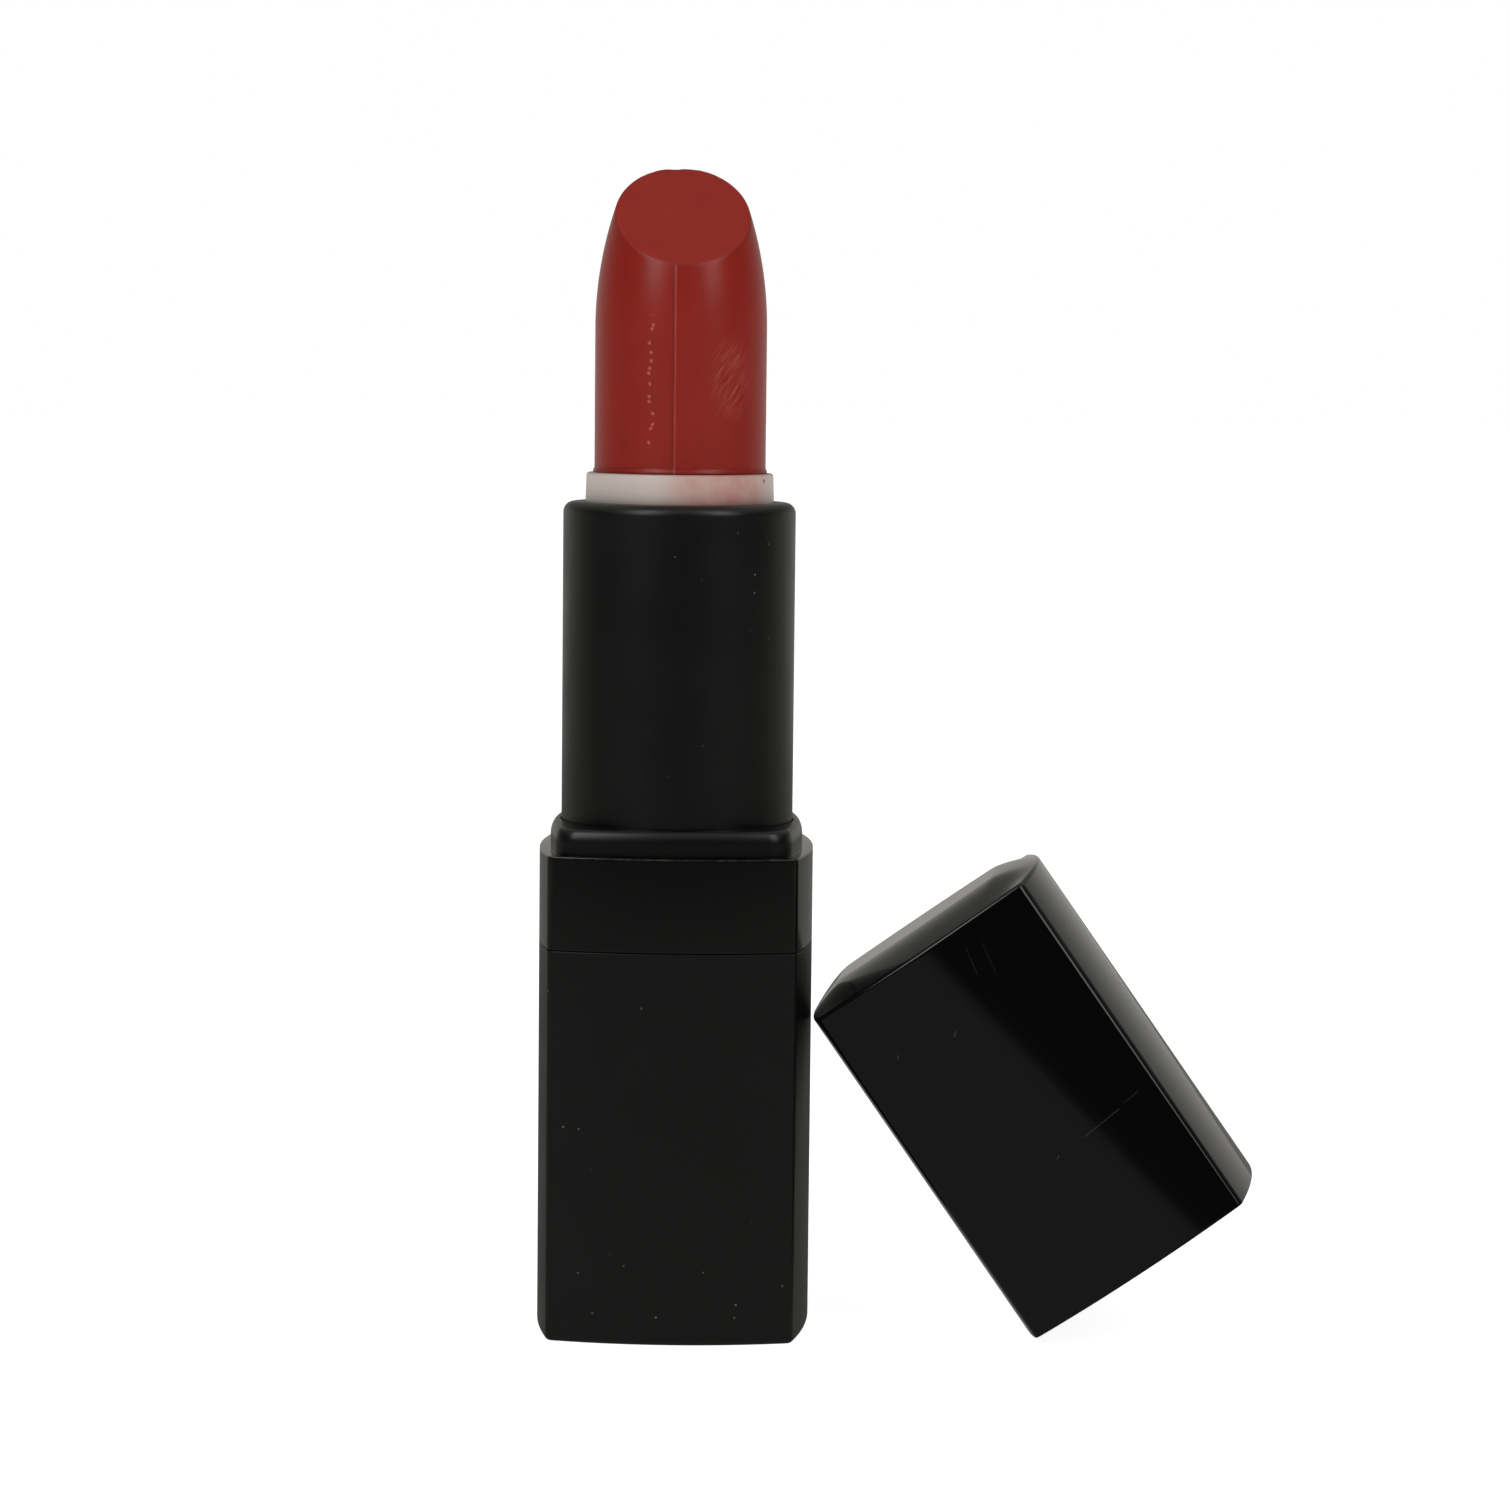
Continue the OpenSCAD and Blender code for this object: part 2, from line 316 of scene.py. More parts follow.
def cushion(half, corner_r, z):
    """Closed outline with bowed sides, as points in mm, its side middles at half from the axis."""
    bow_off = SIDE_R - case_half
    bow_r = bow_off + half
    corner = (math.sqrt(2 * (bow_r - corner_r) ** 2 - bow_off**2) - bow_off) / 2
    reach = math.atan2(corner, corner + bow_off)
    brace = SIDE_BRACE / bow_r
    inner = [brace - reach + 2 * (reach - brace) * i / SIDE_STEPS for i in range(SIDE_STEPS + 1)]
    quarter = [
        (bow_r * math.cos(a) - bow_off, bow_r * math.sin(a)) for a in [-reach] + inner
    ]
    sweep = math.pi / 2 - 2 * reach
    quarter += [
        (
            corner + corner_r * math.cos(reach + sweep * i / CORNER_STEPS),
            corner + corner_r * math.sin(reach + sweep * i / CORNER_STEPS),
        )
        for i in range(CORNER_STEPS)
    ]
    points = []
    for _ in range(4):
        points += [(x, y, z) for x, y in quarter]
        quarter = [(-y, x) for x, y in quarter]
    return points


def circle(radius, z, count=128):
    steps = [2 * math.pi * i / count for i in range(count)]
    return [(radius * math.cos(t), radius * math.sin(t), z) for t in steps]


def circle_in(outline, radius, z):
    """A circle whose points stand at the same angles as those of an outline."""
    return [(x * radius / math.hypot(x, y), y * radius / math.hypot(x, y), z) for x, y, _ in outline]


def arc(centre, radii, start, end, steps=6):
    """Points (distance from the axis, height) on a quarter of a circle or ellipse."""
    angles = [math.radians(start + (end - start) * i / steps) for i in range(steps + 1)]
    return [(centre[0] + radii[0] * math.cos(a), centre[1] + radii[1] * math.sin(a)) for a in angles]


def brace(section, gap=0.08):
    """Adds a point close to each end of every long stretch of a section."""
    braced = []
    for start, end in zip(section, section[1:]):
        braced.append(start)
        length = math.dist(start, end)
        if length > 5 * gap:
            for t in (gap / length, 1 - gap / length):
                braced.append([a + (b - a) * t for a, b in zip(start, end)])
    return braced + [section[-1]]


# %% Skins and pieces
SHARP = math.radians(40)
OWN_FRAME = "own_frame"


def skin(bm, rings, closed=False, first=False, last=False):
    """Quads between rings of equal count. closed joins the last ring to the first, and first
    and last close an end with one face, after all the quads."""
    rows = [[bm.verts.new([c * MM for c in point]) for point in ring] for ring in rings]
    pairs = list(zip(rows, rows[1:])) + ([(rows[-1], rows[0])] if closed else [])
    for low, high in pairs:
        for i, corner in enumerate(low):
            after = (i + 1) % len(low)
            bm.faces.new((corner, low[after], high[after], high[i]))
    if first:
        bm.faces.new(rows[0])
    if last:
        bm.faces.new(rows[-1])


def make_piece(name, bm, materials, body, node, place=None):
    """Turns a bmesh into a smooth-shaded piece that stands for one CAD node. A piece that is
    moved into place keeps its first coordinates as an attribute, for its material to use."""
    bmesh.ops.recalc_face_normals(bm, faces=bm.faces)
    if place:
        own_frame = bm.verts.layers.float_vector.new(OWN_FRAME)
        for vert in bm.verts:
            vert[own_frame] = vert.co
        bmesh.ops.transform(bm, matrix=place, verts=bm.verts)
    for face in bm.faces:
        face.smooth = True
    mesh = bpy.data.meshes.new(name)
    bm.to_mesh(mesh)
    bm.free()
    mesh.set_sharp_from_angle(angle=SHARP)
    for material in materials:
        mesh.materials.append(material)
    piece = bpy.data.objects.new(name, mesh)
    scene.collection.objects.link(piece)
    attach(piece, body)
    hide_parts(node)
    print(f"{name}: {len(mesh.polygons)} faces for {node}")


# %% [markdown]
# ## Satin black ABS: the base and the tube
#
# The base and the tube are ABS from a mould whose steel was spark-eroded, so they have a very
# fine even grain and a satin look. ABS has an IOR of 1.54. The grain of about 0.05 mm would
# vanish at this size, so it is drawn at 0.16 mm. Handling leaves tone and sheen a little uneven,
# which a soft noise gives, and a few specks of dust lie on the faces. Each speck is a small spot
# in a cell of a Voronoi pattern. The cell's own draw sets how strong it is, and more than half
# of the cells stay empty.

# %% Satin ABS
GRAIN, GRAIN_DEEP = 0.16, 0.006
CLOUD = 6  # mm across the patches in which tone and sheen drift
PALER = 1.18  # how much paler the palest patch is
SHEEN_DRIFT = 0.03
DUST_CELL, DUST_SPECK = 1.1, 0.1
DUST_EMPTY = 0.55  # share of the cells without a speck


def satin_abs(name, colour, roughness, dust_seed):
    material, shader = start_material(name, IOR=1.54)
    place = add_node(material, "ShaderNodeTexCoord").outputs["Object"]
    cloud = add_node(
        material, "ShaderNodeTexNoise", {"Vector": place, "Scale": 1 / (CLOUD * MM), "Detail": 3.0}
    ).outputs["Fac"]
    grain = add_node(
        material, "ShaderNodeTexNoise", {"Vector": place, "Scale": 1 / (GRAIN * MM), "Detail": 2.0}
    ).outputs["Fac"]
    shifted = add_node(
        material, "ShaderNodeVectorMath", {0: place, 1: [dust_seed * MM] * 3}, operation="ADD"
    ).outputs[0]
    cells = add_node(material, "ShaderNodeTexVoronoi", {"Vector": shifted, "Scale": 1 / (DUST_CELL * MM)})
    near = add_node(
        material,
        "ShaderNodeMapRange",
        {
            "Value": cells.outputs["Distance"],
            "From Min": DUST_SPECK / DUST_CELL,
            "From Max": 0.5 * DUST_SPECK / DUST_CELL,
        },
    ).outputs["Result"]
    draw = add_node(material, "ShaderNodeSeparateColor", {0: cells.outputs["Color"]}).outputs["Red"]
    chosen = add_node(
        material, "ShaderNodeMapRange", {"Value": draw, "From Min": DUST_EMPTY, "From Max": 1.0}
    ).outputs["Result"]
    dust = add_node(material, "ShaderNodeMath", {0: near, 1: chosen}, operation="MULTIPLY").outputs[0]
    tone = add_node(
        material,
        "ShaderNodeMix",
        {0: cloud, 6: linear(colour), 7: [PALER * c for c in linear(colour)[:3]] + [1]},
        data_type="RGBA",
    ).outputs[2]
    dusty = add_node(
        material, "ShaderNodeMix", {0: dust, 6: tone, 7: linear("#5f5b54")}, data_type="RGBA"
    ).outputs[2]
    gloss = add_node(
        material,
        "ShaderNodeMapRange",
        {
            "Value": cloud,
            "From Min": 0.35,
            "From Max": 0.65,
            "To Min": roughness - SHEEN_DRIFT,
            "To Max": roughness + SHEEN_DRIFT,
        },
    ).outputs["Result"]
    relief = add_node(
        material, "ShaderNodeBump", {"Height": grain, "Strength": 0.25, "Distance": GRAIN_DEEP * MM}
    ).outputs["Normal"]
    link(material, dusty, shader.inputs["Base Color"])
    link(material, gloss, shader.inputs["Roughness"])
    link(material, relief, shader.inputs["Normal"])
    return material


base_abs = satin_abs("ABS_satin_base", "#070807", 0.38, 3.0)
tube_abs = satin_abs("ABS_satin_tube", "#090a09", 0.34, 11.0)
print("satin ABS:", base_abs.name, tube_abs.name)

# %% [markdown]
# ## The base shell
#
# A square cup with bowed sides. Its foot is softly rounded so that it doesn't scratch a table,
# and under it a shallow round recess takes the shade label. The stack of outlines runs from
# that recess out over the foot, up the outside, over the rim and down the inside.

# %% Base shell
BASE_WALL = 1.2
FLOOR_H = 1.6
INNER_CORNER_R = 1.5
FOOT_R = 0.35
RECESS_R, RECESS_DEPTH = 6.1, 0.17


def outer(half, z):
    """An outline of the case, which keeps its upright edges parallel as it shrinks."""
    return cushion(half, EDGE_R - (case_half - half), z)


outside = brace(
    arc((case_half - FOOT_R, FOOT_R), (FOOT_R, FOOT_R), -90, 0)
    + arc((case_half - SEAM_R, base_top - SEAM_R), (SEAM_R, SEAM_R), 0, 90, 3)
)
inner_half = case_half - BASE_WALL
inside = brace([(inner_half, base_top), (inner_half, FLOOR_H)])
under = outer(case_half - FOOT_R - NEAR_EDGE, 0)
rings = [circle_in(under, r, RECESS_DEPTH) for r in (RECESS_R - NEAR_EDGE, RECESS_R)]
rings += [circle_in(under, r, 0) for r in (RECESS_R, RECESS_R + NEAR_EDGE)] + [under]
rings += [outer(half, z) for half, z in outside]
rings += [cushion(half, INNER_CORNER_R, z) for half, z in inside]
bm = bmesh.new()
skin(bm, rings, first=True, last=True)
make_piece("base_body", bm, [base_abs], "base", "base_shell")

# %% [markdown]
# ## Semi-gloss ABS: the collar
#
# The collar comes from a smoother mould than the base, so it is a touch darker and shinier.
# The cap slides over it every day: that rubs the step duller, in fine upright lines. A thin broken pale line
# is painted along the top edge: it is partly wear and partly a painted highlight on the rounded edge. The
# line is masked by height, and noise breaks it up.

# %% A mask for a line


def soft_line(material, across, at, half, core, strength=1.0):
    """Mask of a line that runs at one value of across: full within core of it, gone at half."""
    off = add_node(material, "ShaderNodeMath", {0: across, 1: at}, operation="SUBTRACT").outputs[0]
    off = add_node(material, "ShaderNodeMath", {0: off}, operation="ABSOLUTE").outputs[0]
    return add_node(
        material,
        "ShaderNodeMapRange",
        {"Value": off, "From Min": half, "From Max": core, "To Max": strength},
    ).outputs["Result"]


# %% Semi-gloss ABS
WEAR_AND_GLINT_LINE, WEAR_AND_GLINT_DOWN = 0.05, 0.04  # half width, and how far under the top edge it lies
WEAR_AND_GLINT_PATCH = 1.1
RUB_LINE = 0.25
STEP_FROM = 0.05  # over this height above the ledge it is the step
FLANK_ROUGHNESS = 0.15
STEP_ROUGHNESS = (0.28, 0.34)
collar_abs, shader = start_material("ABS_semi_gloss_collar", IOR=1.54)
place = add_node(collar_abs, "ShaderNodeTexCoord").outputs["Object"]
height = add_node(collar_abs, "ShaderNodeSeparateXYZ", {0: place}).outputs["Z"]
# Painted highlight and wear: a thin broken pale line just under the top edge.
on_edge = soft_line(
    collar_abs, height, (collar_top - WEAR_AND_GLINT_DOWN) * MM, WEAR_AND_GLINT_LINE * MM, 0.3 * WEAR_AND_GLINT_LINE * MM
)
patches = add_node(
    collar_abs,
    "ShaderNodeTexNoise",
    {"Vector": place, "Scale": 1 / (WEAR_AND_GLINT_PATCH * MM), "Detail": 6.0, "Roughness": 0.7},
).outputs["Fac"]
broken = add_node(
    collar_abs, "ShaderNodeMapRange", {"Value": patches, "From Min": 0.42, "From Max": 0.62}
).outputs["Result"]
wear_and_glint = add_node(collar_abs, "ShaderNodeMath", {0: on_edge, 1: broken}, operation="MULTIPLY").outputs[0]
# The pale colour here paints that highlight on the top edge, mixed with its wear.
colour = add_node(
    collar_abs, "ShaderNodeMix", {0: wear_and_glint, 6: linear("#080908"), 7: linear("#4a4843")}, data_type="RGBA"
).outputs[2]
upright = add_node(
    collar_abs, "ShaderNodeVectorMath", {0: place, 1: (1, 1, 0.04)}, operation="MULTIPLY"
).outputs[0]
rubs = add_node(
    collar_abs, "ShaderNodeTexNoise", {"Vector": upright, "Scale": 1 / (RUB_LINE * MM), "Detail": 2.0}
).outputs["Fac"]
on_step = add_node(
    collar_abs, "ShaderNodeMath", {0: height, 1: (collar_top + STEP_FROM) * MM}, operation="GREATER_THAN"
).outputs[0]
rubbed = add_node(
    collar_abs,
    "ShaderNodeMapRange",
    {"Value": rubs, "To Min": STEP_ROUGHNESS[0], "To Max": STEP_ROUGHNESS[1]},
).outputs["Result"]
gloss = add_node(collar_abs, "ShaderNodeMix", {0: on_step, 2: FLANK_ROUGHNESS, 3: rubbed}).outputs[0]
link(collar_abs, colour, shader.inputs["Base Color"])
link(collar_abs, gloss, shader.inputs["Roughness"])
print("collar:", collar_abs.name)

# %% [markdown]
# ## The collar
#
# A square ring that sits flush on the base, with a narrower step on top. The step's shoulder
# is a soft quarter of an ellipse that runs in towards the round bore, so it is wide at the
# corners and narrow at the middles of the sides. Four legs reach down into the corners of the
# base and hold the collar there.

# %% Collar
SHOULDER = (0.5, 0.95)  # across, down
LEDGE_R = 0.07
SLIT, SLIT_DEEP = 0.08, 0.3  # the fine shadow line between collar and base
BORE_EDGE = 0.05
RUN_GAP = 0.07  # between the bore and the tube that turns in it
LEG_HALF, LEG_IN_R = 8.48, 8.6
LEG_ROOT = 0.5  # how far a leg reaches up into the collar
LEG_THIN = 0.15  # a leg ends where it would get thinner
bore_r = tube_r + RUN_GAP


def step(half, z):
    return cushion(half, STEP_CORNER_R - (STEP_HALF - half), z)


flank = brace(
    [(case_half - SLIT_DEEP, base_top), (case_half - SLIT_DEEP, base_top + SLIT)]
    + arc((case_half - SEAM_R, base_top + SLIT + SEAM_R), (SEAM_R, SEAM_R), -90, 0, 3)
    + arc((case_half - LEDGE_R, collar_top - LEDGE_R), (LEDGE_R, LEDGE_R), 0, 90, 4)
)
shoulder = brace(
    [(STEP_HALF, collar_top)]
    + arc((STEP_HALF - SHOULDER[0], step_top - SHOULDER[1]), SHOULDER, 0, 90, 12)
)
rings = [circle_in(outer(case_half - SLIT_DEEP, 0), bore_r, base_top)]
rings += [outer(half, z) for half, z in flank]
rings += [step(STEP_HALF + NEAR_EDGE, collar_top)] + [step(half, z) for half, z in shoulder]
rings += [circle_in(rings[-1], bore_r + BORE_EDGE, step_top)]
rings += [circle_in(rings[-1], bore_r, z) for z in (step_top - BORE_EDGE, step_top - 3 * BORE_EDGE)]
bm = bmesh.new()
skin(bm, rings, closed=True)

leg_outline = cushion(LEG_HALF, INNER_CORNER_R, 0)
count = len(leg_outline) // 4
for turn in range(4):
    start = turn * count + count // 2
    corner = [leg_outline[(start + i) % len(leg_outline)] for i in range(count)]
    corner = [p for p in corner if math.hypot(p[0], p[1]) > LEG_IN_R + LEG_THIN]
    loop = corner + circle_in(corner, LEG_IN_R, 0)[::-1]
    ends = [[(x, y, z) for x, y, _ in loop] for z in (legs_foot, base_top + LEG_ROOT)]
    skin(bm, ends, first=True, last=True)
make_piece("collar_body", bm, [collar_abs], "base", "collar")

# %% [markdown]
# ## The tube
#
# Turned on a lathe, so to speak: the section of the wall is drawn once, as distance from the
# axis and height, and swept round. Its rim has a generous rounding outside, and a thin lip
# closes the tube in around the cup.

# %% Tube
RIM_R = 0.75
LIP_R, LIP_H = 6.8, 0.6
LIP_EDGE = 0.08

section = brace(
    [(tube_r, tube_foot)]
    + arc((tube_r - RIM_R, tube_top - RIM_R), (RIM_R, RIM_R), 0, 90, 14)
    + arc((LIP_R + LIP_EDGE, tube_top - LIP_EDGE), (LIP_EDGE, LIP_EDGE), 90, 180, 3)
    + [(LIP_R, tube_top - LIP_H), (tube_r - TUBE_WALL, tube_top - LIP_H), (tube_r - TUBE_WALL, tube_foot)]
)
bm = bmesh.new()
skin(bm, [circle(r, z) for r, z in section], closed=True)
make_piece("tube_body", bm, [tube_abs], "tube", "outer_tube")

# %% [markdown]
# ## Natural polypropylene: the cup
#
# The cup is polypropylene without pigment: milky white, waxy to the touch, IOR 1.49, and it
# lets a little light in, which subsurface scattering gives. Filling the bullet left a rosy
# smear of wax on its front, right of the middle, and one dark speck. The smear is masked by
# the angle round the cup.

# %% Polypropylene
SMEAR_ANGLE = math.radians(-58)
SMEAR_HALF = math.radians(30)
SMEAR_PATCH = 2.2
SPECK_AT, SPECK_R = (6.0, -2.85, 60.0), 0.2
cup_pp, shader = start_material(
    "polypropylene_natural",
    IOR=1.49,
    Roughness=0.36,
    Subsurface_Weight=0.25,
    Subsurface_Radius=(1.0, 0.8, 0.6),
    Subsurface_Scale=0.5 * MM,
)
place = add_node(cup_pp, "ShaderNodeTexCoord").outputs["Object"]
towards = (math.cos(SMEAR_ANGLE), math.sin(SMEAR_ANGLE), 0)
flat = add_node(cup_pp, "ShaderNodeVectorMath", {0: place, 1: (1, 1, 0)}, operation="MULTIPLY").outputs[0]
radial = add_node(cup_pp, "ShaderNodeVectorMath", {0: flat}, operation="NORMALIZE").outputs[0]
facing = add_node(
    cup_pp, "ShaderNodeVectorMath", {0: radial, 1: towards}, operation="DOT_PRODUCT"
).outputs["Value"]
near = add_node(
    cup_pp,
    "ShaderNodeMapRange",
    {
        "Value": facing,
        "From Min": math.cos(1.6 * SMEAR_HALF),
        "From Max": math.cos(0.5 * SMEAR_HALF),
    },
    interpolation_type="SMOOTHSTEP",
).outputs["Result"]
patches = add_node(
    cup_pp,
    "ShaderNodeTexNoise",
    {"Vector": place, "Scale": 1 / (SMEAR_PATCH * MM), "Detail": 4.0, "Roughness": 0.6},
).outputs["Fac"]
smear = add_node(cup_pp, "ShaderNodeMath", {0: near, 1: patches}, operation="MULTIPLY").outputs[0]
colour = add_node(
    cup_pp, "ShaderNodeMix", {0: smear, 6: linear("#cfc3bc"), 7: linear("#bf6c5d")}, data_type="RGBA"
).outputs[2]
to_speck = add_node(
    cup_pp, "ShaderNodeVectorMath", {0: place, 1: Vector(SPECK_AT) * MM}, operation="DISTANCE"
).outputs["Value"]
speck = add_node(
    cup_pp,
    "ShaderNodeMapRange",
    {"Value": to_speck, "From Min": SPECK_R * MM, "From Max": 0.5 * SPECK_R * MM},
).outputs["Result"]
colour = add_node(
    cup_pp, "ShaderNodeMix", {0: speck, 6: colour, 7: linear("#6a5048")}, data_type="RGBA"
).outputs[2]
link(cup_pp, colour, shader.inputs["Base Color"])
print("cup:", cup_pp.name)

# %% [markdown]
# ## The cup
#
# Another turned section, closed at the foot. Two round lugs stand out of its wall and run in the
# slots of the mechanism: they are what lifts the bullet when the tube turns.

# %% Cup
CUP_WALL, CUP_FLOOR = 0.59, 1.0
CUP_TAPER = 0.06
CUP_RIM = 0.2
CUP_FOOT_R, CUP_LIP_R = 0.1, 0.08
LAST_RING_IN = 1  # how far inside the wall the last ring of the foot and the floor stands
LUG_R, LUG_UP = 0.6, 1.3
LUG_ROOT, LUG_EDGE = 0.2, 0.1  # how far it starts inside the wall, and its broken edge
cup_in = cup_r - CUP_WALL
section = brace(
    [(cup_in - LAST_RING_IN, cup_foot)]
    + arc((cup_r - CUP_FOOT_R, cup_foot + CUP_FOOT_R), (CUP_FOOT_R, CUP_FOOT_R), -90, 0, 3)
    + [(cup_r, tube_top)]
    + arc((cup_r - CUP_TAPER - CUP_RIM, cup_top - CUP_RIM), (CUP_RIM, CUP_RIM), 0, 90, 7)
    + arc((cup_in + CUP_LIP_R, cup_top - CUP_LIP_R), (CUP_LIP_R, CUP_LIP_R), 90, 180, 3)
    + [(cup_in, cup_foot + CUP_FLOOR), (cup_in - LAST_RING_IN, cup_foot + CUP_FLOOR)]
)
bm = bmesh.new()
skin(bm, [circle(r, z) for r, z in section], first=True, last=True)
lug = [(cup_in + LUG_ROOT, LUG_R), (lug_tip - LUG_EDGE, LUG_R), (lug_tip, LUG_R - LUG_EDGE)]
lug_z = cup_foot + LUG_UP
for side in (-1, 1):
    rings = [[(side * x, y, z + lug_z) for y, z, _ in circle(r, 0, 32)] for x, r in lug]
    skin(bm, rings, first=True, last=True)
make_piece("cup_body", bm, [cup_pp], "carrier", "cup")

# %% [markdown]
# ## Cast wax: the bullet's marks
#
# A lipstick is wax and oil full of ground pigment, cast in a polished mould. Its sides carry a
# few pale pinholes in a wandering line, where air was trapped, some wiped streaks, and a pale
# line with a darker groove beside it, where the two halves of the mould met. They could be
# painted on, but masks made from lengths in millimetres stay sharp at any size. They are laid
# out in mm around from the seam and in mm up.

# %% Wax: pinholes
SEAM_ANGLE = math.radians(-91.9)
PINHOLES_AT, PINHOLES_UP, PINHOLES_HALF = -1.8, 6.4, 4.6  # around, above the cup, half length
PINHOLE_GAP, PINHOLE_R, PINHOLE_PALE = 0.62, 0.16, 0.5
WANDER = 1.6  # how far the line strays in all


def pinholes(material, around, up, wander):
    column = add_node(
        material, "ShaderNodeMath", {0: wander, 1: -WANDER, 2: around}, operation="MULTIPLY_ADD"
    ).outputs[0]
    column = add_node(
        material, "ShaderNodeMath", {0: column, 1: PINHOLES_AT - WANDER / 2}, operation="SUBTRACT"
    ).outputs[0]
    beads = add_node(
        material,
        "ShaderNodeTexVoronoi",
        {"W": up, "Scale": 1 / PINHOLE_GAP, "Randomness": 0.8},
        voronoi_dimensions="1D",
    ).outputs["Distance"]
    beads = add_node(
        material, "ShaderNodeMath", {0: beads, 1: PINHOLE_GAP}, operation="MULTIPLY"
    ).outputs[0]
    off_hole = add_node(material, "ShaderNodeCombineXYZ", {0: column, 1: beads}).outputs[0]
    off_hole = add_node(
        material, "ShaderNodeVectorMath", {0: off_hole}, operation="LENGTH"
    ).outputs["Value"]
    holes = add_node(
        material,
        "ShaderNodeMapRange",
        {"Value": off_hole, "From Min": PINHOLE_R, "From Max": PINHOLE_R / 4, "To Max": PINHOLE_PALE},
    ).outputs["Result"]
    in_reach = add_node(
        material,
        "ShaderNodeMath",
        {0: up, 1: cup_top + PINHOLES_UP, 2: PINHOLES_HALF},
        operation="COMPARE",
    ).outputs[0]
    return add_node(material, "ShaderNodeMath", {0: holes, 1: in_reach}, operation="MULTIPLY").outputs[0]


# %% Wax: wiped streaks
STREAKS_AT, STREAKS_UP = 4.2, 6.6  # the middle of an oval: around, and above the cup
STREAKS_REACH = (1.9, 3.4)  # the oval's half sizes
STREAKS_PALE = 0.24
STREAK_TURN, STREAK_LONG, STREAK_WIDE = math.radians(52), 1.8, 0.16


def wiped_streaks(material, around, up):
    sheet = add_node(material, "ShaderNodeCombineXYZ", {0: around, 1: up}).outputs[0]
    from_middle = add_node(
        material,
        "ShaderNodeMapping",
        {
            "Vector": sheet,
            "Location": (STREAKS_AT, cup_top + STREAKS_UP, 0),
            "Scale": (*STREAKS_REACH, 1),
        },
        vector_type="TEXTURE",
    ).outputs[0]
    from_middle = add_node(
        material, "ShaderNodeVectorMath", {0: from_middle}, operation="LENGTH"
    ).outputs["Value"]
    wiped = add_node(
        material,
        "ShaderNodeMapRange",
        {"Value": from_middle, "From Min": 1.1, "From Max": 0.4, "To Max": STREAKS_PALE},
        interpolation_type="SMOOTHSTEP",
    ).outputs["Result"]
    slanted = add_node(
        material,
        "ShaderNodeMapping",
        {"Vector": sheet, "Rotation": (0, 0, STREAK_TURN), "Scale": (STREAK_LONG, STREAK_WIDE, 1)},
        vector_type="TEXTURE",
    ).outputs[0]
    stripes = add_node(
        material, "ShaderNodeTexNoise", {"Vector": slanted, "Scale": 1.0, "Detail": 3.0}
    ).outputs["Fac"]
    stripes = add_node(
        material, "ShaderNodeMapRange", {"Value": stripes, "From Min": 0.42, "From Max": 0.7}
    ).outputs["Result"]
    return add_node(material, "ShaderNodeMath", {0: stripes, 1: wiped}, operation="MULTIPLY").outputs[0]


# %% Wax: the mould seam, and all the marks together
SEAM_LINE, SEAM_CORE = 0.09, 0.02  # half width of the pale line, and where it is strongest
GROOVE_AT, GROOVE_LINE, GROOVE_CORE = -0.17, 0.14, 0.03
SEAM_PALE, GROOVE_DARK = 0.3, 0.55


def wax_marks(material, place, tone):
    """Mixes all the marks into a tone."""
    split = add_node(material, "ShaderNodeSeparateXYZ", {0: place}).outputs
    angle = add_node(
        material, "ShaderNodeMath", {0: split["Y"], 1: split["X"]}, operation="ARCTAN2"
    ).outputs[0]
    around = add_node(
        material,
        "ShaderNodeMath",
        {0: angle, 1: bullet_r, 2: -SEAM_ANGLE * bullet_r},
        operation="MULTIPLY_ADD",
    ).outputs[0]
    up = add_node(material, "ShaderNodeMath", {0: split["Z"], 1: 1 / MM}, operation="MULTIPLY").outputs[0]
    wander = add_node(
        material, "ShaderNodeTexNoise", {"W": up, "Scale": 0.3, "Detail": 1.0}, noise_dimensions="1D"
    ).outputs["Fac"]
    holes = pinholes(material, around, up, wander)
    streaks = wiped_streaks(material, around, up)
    seam = soft_line(material, around, 0, SEAM_LINE, SEAM_CORE, SEAM_PALE)
    seam = add_node(material, "ShaderNodeMath", {0: seam, 1: wander}, operation="MULTIPLY").outputs[0]
    groove = soft_line(material, around, GROOVE_AT, GROOVE_LINE, GROOVE_CORE, GROOVE_DARK)
    pale = add_node(material, "ShaderNodeMath", {0: holes, 1: streaks}, operation="MAXIMUM").outputs[0]
    pale = add_node(material, "ShaderNodeMath", {0: pale, 1: seam}, operation="MAXIMUM").outputs[0]
    tone = add_node(
        material, "ShaderNodeMix", {0: pale, 6: tone, 7: linear("#d08070")}, data_type="RGBA"
    ).outputs[2]
    return add_node(
        material, "ShaderNodeMix", {0: groove, 6: tone, 7: linear("#701a12")}, data_type="RGBA"
    ).outputs[2]


# %% [markdown]
# ## Cast wax: the bullet's colour
#
# The polished steel gives the sides a soft sheen: an IOR of 1.45 and a middling roughness.
# Light goes a little way in and comes back redder. The slanted face was never against the
# steel, so it is duller, with fine lines dragged across it, and gets a second material.

# %% Wax
WAX_CLOUD, WAX_GRAIN, WAX_GRAIN_DEEP = 2.4, 0.3, 0.01
WAX_DRIFT = 0.06


